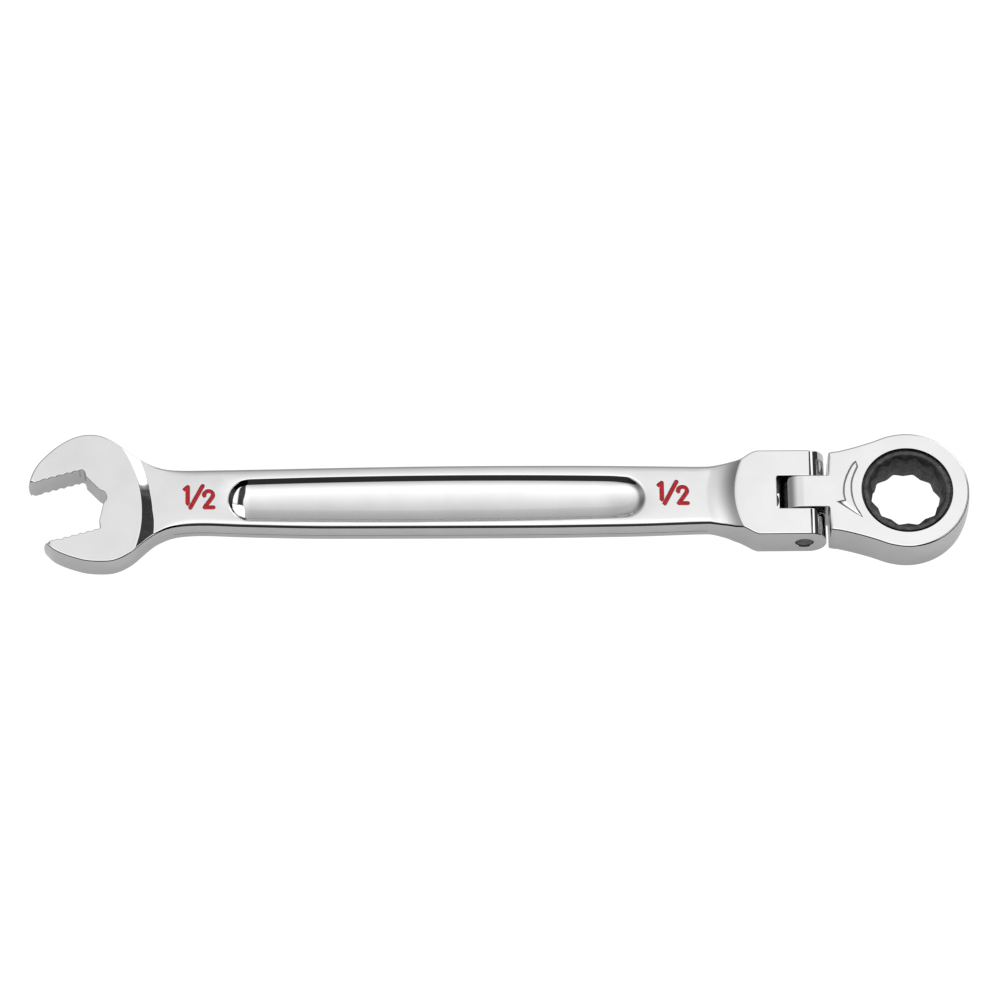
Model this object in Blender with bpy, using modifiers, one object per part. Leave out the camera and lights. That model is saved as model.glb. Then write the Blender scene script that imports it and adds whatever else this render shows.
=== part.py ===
"""Flex-head ratcheting combination wrench, 1/2 inch.

The wrench lies flat: +X runs from the open end to the ratchet ring, +Y across it and +Z out of its face.
The origin is the centre of its box, on the plane that cuts every forging in half.
"""

import math

import bmesh
import bpy
from mathutils import Matrix, Vector

MM = 0.001
GAP = 0.05 * MM  # running clearance between pieces that touch
CUT = 1.0 * MM  # how far a cutter runs past the face that it opens

# Open end
JAW_WIDTH = 12.8 * MM
JAW_TILT = math.radians(15.5)
JAW_CENTRE = Vector((-84.2, -0.9)) * MM  # centre of the nut that the jaws hold
JAW_REACH = 14.0 * MM  # how far the cutter runs out of the mouth
OPEN_END_THICKNESS = 6.46 * MM
OPEN_END_EDGE = 0.35 * MM
SERRATION_PITCH = 1.55 * MM
SERRATION_DEPTH = 0.24 * MM
SERRATIONS = 5
GRIP_START = -3.6 * MM  # of the first serration, along the jaws from the nut's centre

# Shank and clevis
SHANK_THICKNESS = 5.8 * MM
SHANK_EDGE = 0.4 * MM
CLEVIS_THICKNESS = 8.6 * MM
CLEVIS_WIDTH = 18.2 * MM
PIN_X = 59.33 * MM
SLOT_WIDTH = 6.88 * MM
SLOT_FLOOR_X = PIN_X - 5.39 * MM
RECESS_CENTRE_X = -12.4 * MM
RECESS_HALF_LENGTH = 40.65 * MM
RECESS_HALF_WIDTH = 4.7 * MM
RECESS_NOSE_HALF_WIDTH = 4.1 * MM
RECESS_NOSE = 3.8 * MM
RECESS_DEPTH = 0.85 * MM

# Size marks, engraved and filled
MARK_XS = {"open_end": -58.7 * MM, "clevis_end": 33.9 * MM}
MARK_Y = 0.6 * MM
STROKE_HALF_WIDTH = 0.37 * MM
MARK_DEPTH = 0.3 * MM
FILL_THICKNESS = 0.22 * MM

# Pivot
PIN_RADIUS = 1.75 * MM
PIN_HALF_LENGTH = 8.5 * MM
PIN_BORE_RADIUS = PIN_RADIUS + GAP
PLUNGER_RADIUS = 1.15 * MM
PLUNGER_BORE_RADIUS = 1.25 * MM
PLUNGER_LENGTH = 3.4 * MM
PLUNGER_BORE_DEPTH = 7.2 * MM

# Ratchet head
RING_X = 79.5 * MM
HEAD_THICKNESS = 9.26 * MM
HEAD_EDGE = 0.35 * MM
RING_RADIUS = 12.05 * MM  # of the flat face; the edge adds HEAD_EDGE
SHOULDER_X = PIN_X + 5.2 * MM
SHOULDER_HALF_WIDTH = 8.25 * MM
TANG_WIDTH = SLOT_WIDTH - 0.2 * MM
TANG_RADIUS = HEAD_THICKNESS / 2
FACE_OPENING_RADIUS = 8.9 * MM
CAVITY_RADIUS = 9.6 * MM
CAVITY_TOP_Z = 3.55 * MM
POCKET_BACK_X = RING_X - 13.9 * MM
POCKET_HALF_WIDTH = 2.85 * MM
POCKET_HALF_HEIGHT = 3.25 * MM

# Gear
TEETH = 72
TOOTH_TIP_RADIUS = 9.4 * MM
TOOTH_ROOT_RADIUS = 9.0 * MM
GEAR_TOP_Z = CAVITY_TOP_Z - 0.1 * MM
GEAR_BOTTOM_Z = -3.35 * MM
COLLAR_RADIUS = 8.5 * MM
COLLAR_Z = 4.35 * MM
SOCKET_POINTS = 12
SOCKET_CHAMFER_RADIUS = 8.0 * MM
SOCKET_CHAMFER_Z = 3.9 * MM

# Pawls
PAWL_HALF_WIDTH = 2.6 * MM
PAWL_BACK_X = RING_X - 13.1 * MM
PAWL_HEIGHT = 2.9 * MM
PAWL_MIDDLE_Z = 1.6 * MM
PAWL_TRAVEL = 0.5 * MM
PAWL_TOOTH_GAP = 0.08 * MM
SPRING_BORE_RADIUS = 1.2 * MM
SPRING_BORE_END_X = RING_X - 17.2 * MM

# Springs
SPRING_RADIUS = 0.85 * MM
SPRING_WIRE_RADIUS = 0.14 * MM
POINTS_A_TURN = 12

# Retaining ring
SNAP_RING_INNER_RADIUS = 8.75 * MM
SNAP_RING_OUTER_RADIUS = 9.95 * MM
SNAP_GROOVE_RADIUS = 10.05 * MM
SNAP_RING_TOP_Z = -3.45 * MM
SNAP_RING_THICKNESS = 0.6 * MM
SNAP_RING_MOUTH = math.radians(24)

ROUND = 48


def make_collection(name):
    collection = bpy.data.collections.new(name)
    bpy.context.scene.collection.children.link(collection)
    return collection


def link(obj, collection):
    """Puts the object in its collection; cutters are hidden from renders."""
    collection.objects.link(obj)
    if collection is not parts:
        obj.hide_render = True
        obj.display_type = "WIRE"
    return obj


def object_from_bmesh(name, bm, collection):
    bmesh.ops.recalc_face_normals(bm, faces=bm.faces)
    mesh = bpy.data.meshes.new(name)
    bm.to_mesh(mesh)
    bm.free()
    return link(bpy.data.objects.new(name, mesh), collection)


def cylinder(name, radius, start, end, collection, end_radius=None, segments=ROUND):
    """A cylinder, or a cone, from one centre point to the other."""
    axis = end - start
    turn = axis.to_track_quat("Z", "Y").to_matrix().to_4x4()
    bm = bmesh.new()
    bmesh.ops.create_cone(
        bm,
        cap_ends=True,
        segments=segments,
        radius1=radius,
        radius2=radius if end_radius is None else end_radius,
        depth=axis.length,
        matrix=Matrix.Translation((start + end) / 2) @ turn,
    )
    return object_from_bmesh(name, bm, collection)


def upright_cylinder(name, radius, low_z, high_z, collection, end_radius=None):
    """A cylinder on the ring's axis."""
    start = Vector((RING_X, 0, low_z))
    end = Vector((RING_X, 0, high_z))
    return cylinder(name, radius, start, end, collection, end_radius, 2 * ROUND)


def box(name, low, high, collection):
    low, high = Vector(low), Vector(high)
    bm = bmesh.new()
    bmesh.ops.create_cube(bm, size=1)
    bmesh.ops.scale(bm, vec=high - low, verts=bm.verts)
    bmesh.ops.translate(bm, vec=(low + high) / 2, verts=bm.verts)
    return object_from_bmesh(name, bm, collection)


def flat_solid(name, outlines, low_z, high_z, collection, edge=0.0):
    """A closed solid on flat outlines. A rounded edge of this radius stands outside the outline."""
    curve = bpy.data.curves.new(name, "CURVE")
    curve.dimensions = "2D"
    curve.fill_mode = "BOTH"
    curve.extrude = (high_z - low_z) / 2 - edge
    curve.bevel_depth = edge
    curve.bevel_resolution = 1
    for outline in outlines:
        spline = curve.splines.new("POLY")
        spline.points.add(len(outline) - 1)
        for point, (x, y) in zip(spline.points, outline):
            point.co = (x, y, 0, 1)
        spline.use_cyclic_u = True
    guide = bpy.data.objects.new(name, curve)
    guide.location.z = (high_z + low_z) / 2
    bpy.context.scene.collection.objects.link(guide)
    bpy.context.view_layer.update()
    evaluated = guide.evaluated_get(bpy.context.evaluated_depsgraph_get())
    mesh = bpy.data.meshes.new_from_object(evaluated)
    mesh.transform(guide.matrix_world)
    bpy.data.objects.remove(guide)
    bm = bmesh.new()
    bm.from_mesh(mesh)
    bpy.data.meshes.remove(mesh)
    bmesh.ops.remove_doubles(bm, verts=bm.verts, dist=0.001 * MM)
    return object_from_bmesh(name, bm, collection)


def loft(name, rings, collection):
    """A closed solid through rings of equally many points, capped at both ends."""
    bm = bmesh.new()
    loops = [[bm.verts.new(point) for point in ring] for ring in rings]
    for near, far in zip(loops, loops[1:]):
        for i in range(len(near)):
            j = (i + 1) % len(near)
            bm.faces.new((near[i], near[j], far[j], far[i]))
    bm.faces.new(loops[0])
    bm.faces.new(loops[-1])
    return object_from_bmesh(name, bm, collection)


def boolean(target, operation, operand):
    """Adds an exact Boolean with an object or with a whole collection."""
    modifier = target.modifiers.new(operand.name, "BOOLEAN")
    modifier.operation = operation
    modifier.solver = "EXACT"
    if isinstance(operand, bpy.types.Collection):
        modifier.operand_type = "COLLECTION"
        modifier.collection = operand
    else:
        modifier.object = operand


def give_material(obj, name, colour, roughness, metallic=1.0):
    material = bpy.data.materials.get(name) or bpy.data.materials.new(name)
    material.use_nodes = True
    shader = material.node_tree.nodes["Principled BSDF"]
    shader.inputs["Base Color"].default_value = (*colour, 1.0)
    shader.inputs["Roughness"].default_value = roughness
    shader.inputs["Metallic"].default_value = metallic
    obj.data.materials.append(material)


def chrome(obj):
    give_material(obj, "polished_chrome", (0.82, 0.82, 0.83), 0.08)


def dark_steel(obj):
    give_material(obj, "dark_steel", (0.09, 0.09, 0.095), 0.35)


def spring_steel(obj):
    give_material(obj, "spring_steel", (0.5, 0.5, 0.52), 0.3)


def red_enamel(obj):
    give_material(obj, "red_enamel", (0.55, 0.02, 0.03), 0.4, 0.0)


def smooth_path(points, steps=4):
    """A Catmull-Rom curve through the points, with this many steps to a span."""
    points = [Vector(p) for p in points]
    ends = [2 * points[0] - points[1]] + points + [2 * points[-1] - points[-2]]
    path = []
    for i in range(1, len(ends) - 2):
        a, b, c, d = ends[i - 1 : i + 3]
        for step in range(steps):
            t = step / steps
            path.append(
                0.5 * (2 * b + (c - a) * t + (2 * a - 5 * b + 4 * c - d) * t**2
                       + (3 * b - a - 3 * c + d) * t**3)
            )
    return path + [points[-1]]


def arc(centre, radius, start_degrees, end_degrees, steps):
    """Points on a circle, both ends included."""
    points = []
    for i in range(steps + 1):
        angle = math.radians(start_degrees + (end_degrees - start_degrees) * i / steps)
        points.append(Vector(centre) + radius * Vector((math.cos(angle), math.sin(angle))))
    return points


def stroke_outline(path, half_width):
    """The outline of a pen stroke with round ends along a smooth path."""
    sides = {1: [], -1: []}
    for i, point in enumerate(path):
        along = (path[min(i + 1, len(path) - 1)] - path[max(i - 1, 0)]).normalized()
        across = Vector((-along.y, along.x))
        for side, points in sides.items():
            points.append(point + side * half_width * across)
    first = math.degrees(math.atan2(*(path[1] - path[0]).yx))
    last = math.degrees(math.atan2(*(path[-1] - path[-2]).yx))
    head = arc(path[-1], half_width, last + 90, last - 90, 6)[1:-1]
    tail = arc(path[0], half_width, first - 90, first - 270, 6)[1:-1]
    return sides[1] + head + sides[-1][::-1] + tail


# ---------------------------------------------------------------- handle


def open_end_plate():
    """The flat plate that the jaws are cut from, whose back edge is an arc across the neck."""
    upper = smooth_path(
        [v * MM for v in (Vector((-91.85, 3.6)), Vector((-90.2, 7.85)), Vector((-86.1, 11.85)),
                          Vector((-80.2, 14.1)), Vector((-76.1, 12.85)), Vector((-73.0, 10.6)))]
    )
    lower = smooth_path(
        [v * MM for v in (Vector((-71.4, -10.6)), Vector((-74.0, -12.3)), Vector((-78.6, -13.07)),
                          Vector((-83.0, -12.35)), Vector((-87.0, -10.6)), Vector((-88.85, -8.9)))]
    )
    back = arc(Vector((-94.5, -1.7)) * MM, 24.6 * MM, 28, -19.5, 12)
    half = OPEN_END_THICKNESS / 2
    return flat_solid("open_end_plate", [upper + back + lower], -half, half, joined, OPEN_END_EDGE)


def jaw_cutter():
    """The space between the jaws: stepped grips, a throat that fits a nut's corner, and reliefs."""
    half = JAW_WIDTH / 2
    upper = []
    for tooth in range(SERRATIONS):
        for part, rise in ((0.0, 0), (0.12, 1), (0.48, 1), (0.6, 0)):
            x = GRIP_START + (tooth + part) * SERRATION_PITCH
            upper.append(Vector((x, half + rise * SERRATION_DEPTH)))
    upper.append(Vector((JAW_REACH, half)))
    corner_relief = Vector((-4.45, half / MM + 0.1)) * MM
    facet_top = Vector((-4.65, 4.9)) * MM
    facet_end = Vector((-6.7, 1.3)) * MM
    notch = [Vector((-7.35, 0.9)) * MM, Vector((-7.6, 0.0)) * MM]
    half_outline = [*reversed(upper), corner_relief, facet_top, facet_end, *notch]
    outline = half_outline + [Vector((p.x, -p.y)) for p in reversed(half_outline[:-1])]
    turn = Matrix.Rotation(math.pi + JAW_TILT, 2)
    placed = [JAW_CENTRE + turn @ p for p in outline]
    reach = OPEN_END_THICKNESS / 2 + CUT
    return flat_solid("jaw_cutter", [placed], -reach, reach, handle_cutters)


def shank_section(x, high_y, low_y, half_thickness):
    """A rectangle with broken corners, across the shank."""
    corners = []
    for y, z, side_y, side_z in (
        (high_y, half_thickness, 1, 1),
        (low_y, half_thickness, -1, 1),
        (low_y, -half_thickness, -1, -1),
        (high_y, -half_thickness, 1, -1),
    ):
        on_side = Vector((x, y, z - side_z * SHANK_EDGE))
        on_face = Vector((x, y - side_y * SHANK_EDGE, z))
        corners += [on_side, on_face] if side_y == side_z else [on_face, on_side]
    return corners


def shank():
    """The shank, from inside the open end through the flare to the pin's axis."""
    thin = SHANK_THICKNESS / MM / 2
    thick = CLEVIS_THICKNESS / MM / 2
    wide = CLEVIS_WIDTH / MM / 2
    stations = (
        (-75.0, 9.0, -10.5, thin), (-72.4, 9.9, -11.1, thin), (-70.4, 8.45, -9.5, thin),
        (-68.5, 7.4, -7.9, thin), (-66.5, 6.85, -6.7, thin), (-64.5, 6.6, -5.95, thin),
        (-62.0, 6.45, -5.6, thin), (-57.5, 6.4, -5.5, thin), (-45.0, 6.5, -5.9, thin),
        (-29.0, 6.7, -6.3, thin), (-8.0, 6.85, -6.5, thin), (15.0, 6.75, -6.45, thin),
        (39.0, 6.4, -6.2, thin), (41.3, 6.4, -6.2, thin), (43.4, 6.7, -6.6, thin + 0.3),
        (45.8, 7.55, -7.5, thick - 0.1), (48.2, 8.65, -8.6, thick), (50.2, wide, -wide, thick),
        (PIN_X / MM, wide, -wide, thick),
    )
    rings = [shank_section(*(value * MM for value in station)) for station in stations]
    return loft("handle_forging", rings, parts)


def recess_outline(inset):
    """The recess's outline on the face, drawn in by this much: two round noses and bowed sides."""
    nose_x = RECESS_HALF_LENGTH - RECESS_NOSE
    upper = []
    for i in range(9):
        angle = math.radians(90 * i / 8)
        upper.append(
            Vector((
                nose_x + (RECESS_NOSE - inset) * math.cos(angle),
                (RECESS_NOSE_HALF_WIDTH - inset) * math.sin(angle),
            ))
        )
    upper.append(Vector((nose_x / 2, 0.25 * RECESS_NOSE_HALF_WIDTH + 0.75 * RECESS_HALF_WIDTH - inset)))
    upper.append(Vector((0, RECESS_HALF_WIDTH - inset)))
    upper += [Vector((-p.x, p.y)) for p in reversed(upper[:-1])]
    lower = [Vector((p.x, -p.y)) for p in reversed(upper[1:-1])]
    return [Vector((RECESS_CENTRE_X + p.x, p.y)) for p in upper + lower]


def recess_cutter(side):
    """The dish in one face of the shank: a steep wall that rounds into a flat floor."""
    face_z = SHANK_THICKNESS / 2
    profile = (
        (0.0, face_z + CUT), (0.0, face_z), (0.25 * MM, face_z - 0.45 * RECESS_DEPTH),
        (0.6 * MM, face_z - 0.85 * RECESS_DEPTH), (1.1 * MM, face_z - RECESS_DEPTH),
    )
    rings = [[(p.x, p.y, side * z) for p in recess_outline(inset)] for inset, z in profile]
    name = "face_recess" if side > 0 else "back_recess"
    return loft(name, rings, handle_cutters)


def digit_strokes():
    """Pen strokes of the three signs of a size mark, about the mark's middle."""
    bowl = arc(Vector((1.75, 0.42)) * MM, 0.85 * MM, 188, -38, 9)
    foot_left = Vector((0.95, -2.2)) * MM
    return {
        "one": [[Vector((-2.3, 2.2)) * MM, Vector((-2.3, -1.4)) * MM],
                [Vector((-2.85, 1.7)) * MM, Vector((-2.3, 2.2)) * MM]],
        "stroke": [[Vector((-1.8, -2.25)) * MM, Vector((0.6, 2.4)) * MM]],
        "two": [bowl + [foot_left], [foot_left, Vector((2.7, -2.2)) * MM]],
    }


def size_marks():
    """Engraves both size marks in the face and fills each sign with enamel."""
    face_z = SHANK_THICKNESS / 2
    for place, mark_x in MARK_XS.items():
        middle = Vector((mark_x, MARK_Y))
        for sign, strokes in digit_strokes().items():
            name = f"{place}_mark_{sign}"
            placed = [[middle + point for point in stroke] for stroke in strokes]
            for i, stroke in enumerate(placed):
                outline = stroke_outline(stroke, STROKE_HALF_WIDTH)
                low = face_z - MARK_DEPTH
                flat_solid(f"{name}_pocket_{i}", [outline], low, face_z + CUT, handle_cutters)
            fills = []
            for i, stroke in enumerate(placed):
                outline = stroke_outline(stroke, STROKE_HALF_WIDTH - GAP)
                low = face_z - MARK_DEPTH + GAP
                fill_name = f"{name}_{i}" if i else name
                fill_collection = joined if i else parts
                fills.append(flat_solid(fill_name, [outline], low, low + FILL_THICKNESS, fill_collection))
            for extra in fills[1:]:
                boolean(fills[0], "UNION", extra)
            red_enamel(fills[0])


def handle():
    forging = shank()
    half_width = CLEVIS_WIDTH / 2
    half_thickness = CLEVIS_THICKNESS / 2
    boolean(forging, "UNION", open_end_plate())
    ears = cylinder(
        "ear_ends", half_thickness, Vector((PIN_X, -half_width, 0)), Vector((PIN_X, half_width, 0)), joined
    )
    boolean(forging, "UNION", ears)
    jaw_cutter()
    box(
        "slot_cutter",
        (SLOT_FLOOR_X, -SLOT_WIDTH / 2, -half_thickness - CUT),
        (PIN_X + half_thickness + CUT, SLOT_WIDTH / 2, half_thickness + CUT),
        handle_cutters,
    )
    pin_reach = half_width + CUT
    cylinder(
        "pin_bore", PIN_BORE_RADIUS, Vector((PIN_X, -pin_reach, 0)), Vector((PIN_X, pin_reach, 0)),
        handle_cutters, segments=ROUND // 2,
    )
    cylinder(
        "plunger_bore", PLUNGER_BORE_RADIUS, Vector((SLOT_FLOOR_X - PLUNGER_BORE_DEPTH, 0, 0)),
        Vector((SLOT_FLOOR_X + CUT, 0, 0)), handle_cutters, segments=ROUND // 2,
    )
    recess_cutter(1)
    recess_cutter(-1)
    size_marks()
    boolean(forging, "DIFFERENCE", handle_cutters)
    chrome(forging)


# ---------------------------------------------------------------- pivot


def pivot_pin():
    pin = cylinder(
        "pivot_pin", PIN_RADIUS, Vector((0, -PIN_HALF_LENGTH, 0)), Vector((0, PIN_HALF_LENGTH, 0)),
        parts, segments=ROUND // 2,
    )
    pin.location.x = PIN_X
    dark_steel(pin)


def tension_plunger():
    """A turned plunger with a domed nose that rubs on the tang's round end."""
    nose_x = PIN_X - TANG_RADIUS - GAP
    dome = 0.45 * MM
    profile = [Vector((0, 0)), Vector((PLUNGER_RADIUS, 0))]
    for i in range(6):
        angle = math.radians(90 * i / 5)
        profile.append(
            Vector((PLUNGER_RADIUS * math.cos(angle), PLUNGER_LENGTH - dome + dome * math.sin(angle)))
        )
    mesh = bpy.data.meshes.new("tension_plunger")
    mesh.from_pydata([(p.x, 0, p.y) for p in profile],
                     [(i, i + 1) for i in range(len(profile) - 1)], [])
    plunger = link(bpy.data.objects.new("tension_plunger", mesh), parts)
    screw = plunger.modifiers.new("Turn", "SCREW")
    screw.steps = screw.render_steps = ROUND // 2
    screw.use_merge_vertices = True
    screw.merge_threshold = 0.00001 * MM
    screw.use_normal_calculate = True
    plunger.rotation_euler.y = math.pi / 2
    plunger.location.x = nose_x - PLUNGER_LENGTH
    dark_steel(plunger)
    return nose_x - PLUNGER_LENGTH


def coil_spring(name, start_x, end_x, z, turns):
    """A compression spring along X."""
    curve = bpy.data.curves.new(name, "CURVE")
    curve.dimensions = "3D"
    curve.bevel_depth = SPRING_WIRE_RADIUS
    curve.bevel_resolution = 2
    curve.use_fill_caps = True
    count = turns * POINTS_A_TURN + 1
    spline = curve.splines.new("POLY")
    spline.points.add(count - 1)
    length = end_x - start_x - 2 * SPRING_WIRE_RADIUS
    for i, point in enumerate(spline.points):
        angle = 2 * math.pi * i / POINTS_A_TURN
        along = SPRING_WIRE_RADIUS + length * i / (count - 1)
        point.co = (along, SPRING_RADIUS * math.cos(angle), SPRING_RADIUS * math.sin(angle), 1)
    spring = link(bpy.data.objects.new(name, curve), parts)
    spring.location = (start_x, 0, z)
    spring_steel(spring)


# ---------------------------------------------------------------- ratchet head


def head_outline():
    """The ring, and the flare that narrows from it to the shoulder."""
    ring = arc((RING_X, 0), RING_RADIUS, 0, 108, 22)
    flare = smooth_path(
        [Vector((75.0, 11.15)) * MM, Vector((72.4, 10.25)) * MM, Vector((68.6, 9.15)) * MM,
         Vector((SHOULDER_X, SHOULDER_HALF_WIDTH))]
    )
    upper = ring[1:] + flare
    return ring[:1] + upper + [Vector((p.x, -p.y)) for p in reversed(upper)]


def arrow_band():
    """Two outlines, one inside the other, of a curved arrow that shows the driving direction."""
    def arrow(inset):
        outer = arc((RING_X, 0), 12.35 * MM - inset, 151, 190.5 - inset / MM * 1.5, 8)
        inner = arc((RING_X, 0), 10.75 * MM + inset, 200.5 - inset / MM * 2, 154, 8)
        barb = Vector((65.95, -2.4)) * MM + Vector((inset * 2.6, -inset * 0.9))
        tip = Vector((70.35, -5.55)) * MM + Vector((-inset * 1.1, inset * 1.9))
        return outer + [barb, tip] + inner

    return [arrow(0.0), arrow(0.22 * MM)]


def head():
    half = HEAD_THICKNESS / 2
    housing = flat_solid("head_housing", [head_outline()], -half, half, parts, HEAD_EDGE)
    tang = box(
        "tang", (PIN_X, -TANG_WIDTH / 2, -half), (SHOULDER_X + 2 * MM, TANG_WIDTH / 2, half), joined
    )
    tang_end = cylinder(
        "tang_end", TANG_RADIUS, Vector((PIN_X, -TANG_WIDTH / 2, 0)), Vector((PIN_X, TANG_WIDTH / 2, 0)),
        joined,
    )
    boolean(housing, "UNION", tang)
    boolean(housing, "UNION", tang_end)
    upright_cylinder("face_opening", FACE_OPENING_RADIUS, 0, half + CUT, head_cutters)
    upright_cylinder("gear_cavity", CAVITY_RADIUS, -half - CUT, CAVITY_TOP_Z, head_cutters)
    groove_low = SNAP_RING_TOP_Z - SNAP_RING_THICKNESS - GAP
    upright_cylinder("snap_groove", SNAP_GROOVE_RADIUS, groove_low, SNAP_RING_TOP_Z + GAP, head_cutters)
    box(
        "pawl_pocket",
        (POCKET_BACK_X, -POCKET_HALF_WIDTH, -POCKET_HALF_HEIGHT),
        (RING_X - CAVITY_RADIUS / 2, POCKET_HALF_WIDTH, POCKET_HALF_HEIGHT),
        head_cutters,
    )
    for side in (1, -1):
        z = side * PAWL_MIDDLE_Z
        name = "upper_spring_bore" if side > 0 else "lower_spring_bore"
        cylinder(
            name, SPRING_BORE_RADIUS, Vector((SPRING_BORE_END_X, 0, z)),
            Vector((POCKET_BACK_X + CUT, 0, z)), head_cutters, segments=ROUND // 2,
        )
    reach = TANG_WIDTH / 2 + CUT
    cylinder(
        "tang_bore", PIN_BORE_RADIUS, Vector((PIN_X, -reach, 0)), Vector((PIN_X, reach, 0)),
        head_cutters, segments=ROUND // 2,
    )
    flat_solid("direction_arrow", arrow_band(), half - 0.2 * MM, half + CUT, head_cutters)
    boolean(housing, "DIFFERENCE", head_cutters)
    chrome(housing)


def gear_outline(radius_gap=0.0, first=0, last=TEETH):
    """Ratchet teeth: each rises gently over half its pitch and falls steeply."""
    points = []
    pitch = 2 * math.pi / TEETH
    for tooth in range(first, last):
        for part, radius in (
            (0.0, TOOTH_ROOT_RADIUS), (0.1, TOOTH_ROOT_RADIUS), (0.58, TOOTH_TIP_RADIUS),
            (0.68, TOOTH_TIP_RADIUS),
        ):
            angle = (tooth + part) * pitch
            r = radius + radius_gap
            points.append(Vector((RING_X + r * math.cos(angle), r * math.sin(angle))))
    return points


def drive_gear():
    """The toothed ring with a collar on each face, and a socket for a nut's twelve points."""
    gear = flat_solid("drive_gear", [gear_outline()], GEAR_BOTTOM_Z, GEAR_TOP_Z, parts)
    collars = upright_cylinder("gear_collars", COLLAR_RADIUS, -COLLAR_Z, COLLAR_Z, joined)
    boolean(gear, "UNION", collars)
    socket = []
    for i in range(SOCKET_POINTS):
        # a broken corner in each valley and each point, both on the nut's flats
        for degrees in (-2, 2, 13.5, 16.5):
            to_flat = math.radians(15 + min(abs(degrees), 30 - abs(degrees)))
            radius = JAW_WIDTH / 2 / math.cos(to_flat)
            angle = math.radians(30 * i + degrees)
            socket.append(Vector((RING_X + radius * math.cos(angle), radius * math.sin(angle))))
    flat_solid("socket", [socket], -COLLAR_Z - CUT, COLLAR_Z + CUT, gear_cutters)
    inner = JAW_WIDTH / 2 - 0.3 * MM
    slope = (SOCKET_CHAMFER_RADIUS - inner) / (COLLAR_Z - SOCKET_CHAMFER_Z)
    for side in (1, -1):
        name = "face_chamfer" if side > 0 else "back_chamfer"
        upright_cylinder(
            name, inner, side * SOCKET_CHAMFER_Z, side * (COLLAR_Z + 0.3 * MM), gear_cutters,
            SOCKET_CHAMFER_RADIUS + slope * 0.3 * MM,
        )
    boolean(gear, "DIFFERENCE", gear_cutters)
    dark_steel(gear)


def pawl(name, low_z, retracted):
    """A block whose front carries five teeth that fit the gear's gaps. Its sides end level with the tips."""
    middle = TEETH // 2
    front = gear_outline(PAWL_TOOTH_GAP, middle - 3, middle + 3)[3:]
    tip_radius = TOOTH_TIP_RADIUS + PAWL_TOOTH_GAP
    side_x = RING_X - math.sqrt(tip_radius**2 - PAWL_HALF_WIDTH**2)
    outline = [Vector((PAWL_BACK_X, PAWL_HALF_WIDTH)), Vector((side_x, PAWL_HALF_WIDTH)), *front]
    outline += [Vector((side_x, -PAWL_HALF_WIDTH)), Vector((PAWL_BACK_X, -PAWL_HALF_WIDTH))]
    block = flat_solid(name, [outline], low_z, low_z + PAWL_HEIGHT, parts)
    block.location.x = -retracted
    dark_steel(block)
    return PAWL_BACK_X - retracted


def retaining_ring():
    """A split ring that springs into its groove under the gear."""
    half_mouth = math.degrees(SNAP_RING_MOUTH) / 2
    outer = arc((RING_X, 0), SNAP_RING_OUTER_RADIUS, half_mouth, 360 - half_mouth, ROUND)
    inner = arc((RING_X, 0), SNAP_RING_INNER_RADIUS, 360 - half_mouth, half_mouth, ROUND)
    low = SNAP_RING_TOP_Z - SNAP_RING_THICKNESS
    ring = flat_solid("gear_retaining_ring", [outer + inner], low, SNAP_RING_TOP_Z, parts)
    spring_steel(ring)


for old in list(bpy.data.objects):
    bpy.data.objects.remove(old)

parts = make_collection("ratchet_wrench")
joined = make_collection("joined_shapes")
handle_cutters = make_collection("handle_cutters")
head_cutters = make_collection("head_cutters")
gear_cutters = make_collection("gear_cutters")

handle()
pivot_pin()
plunger_back_x = tension_plunger()
coil_spring("tension_spring", SLOT_FLOOR_X - PLUNGER_BORE_DEPTH + GAP, plunger_back_x - GAP, 0, 5)
head()
drive_gear()
retaining_ring()
upper_back_x = pawl("upper_pawl", PAWL_MIDDLE_Z - PAWL_HEIGHT / 2, 0.0)
lower_back_x = pawl("lower_pawl", -PAWL_MIDDLE_Z - PAWL_HEIGHT / 2, PAWL_TRAVEL)
coil_spring("upper_pawl_spring", SPRING_BORE_END_X + GAP, upper_back_x - GAP, PAWL_MIDDLE_Z, 5)
coil_spring("lower_pawl_spring", SPRING_BORE_END_X + GAP, lower_back_x - GAP, -PAWL_MIDDLE_Z, 5)
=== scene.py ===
"""Looks of the flex-head ratcheting combination wrench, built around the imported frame.

The handle and the head are each one closed mesh, whose two faces are height fields over a plan outline.
Shapes are in millimetres, in the frame's own axes: +X towards the ratchet ring, +Y across the wrench,
+Z out of the marked face. They become metres in piece_from().
"""

import math

import bmesh
import bpy
import numpy as np
from mathutils import Matrix, Vector
from mathutils.geometry import delaunay_2d_cdt


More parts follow.
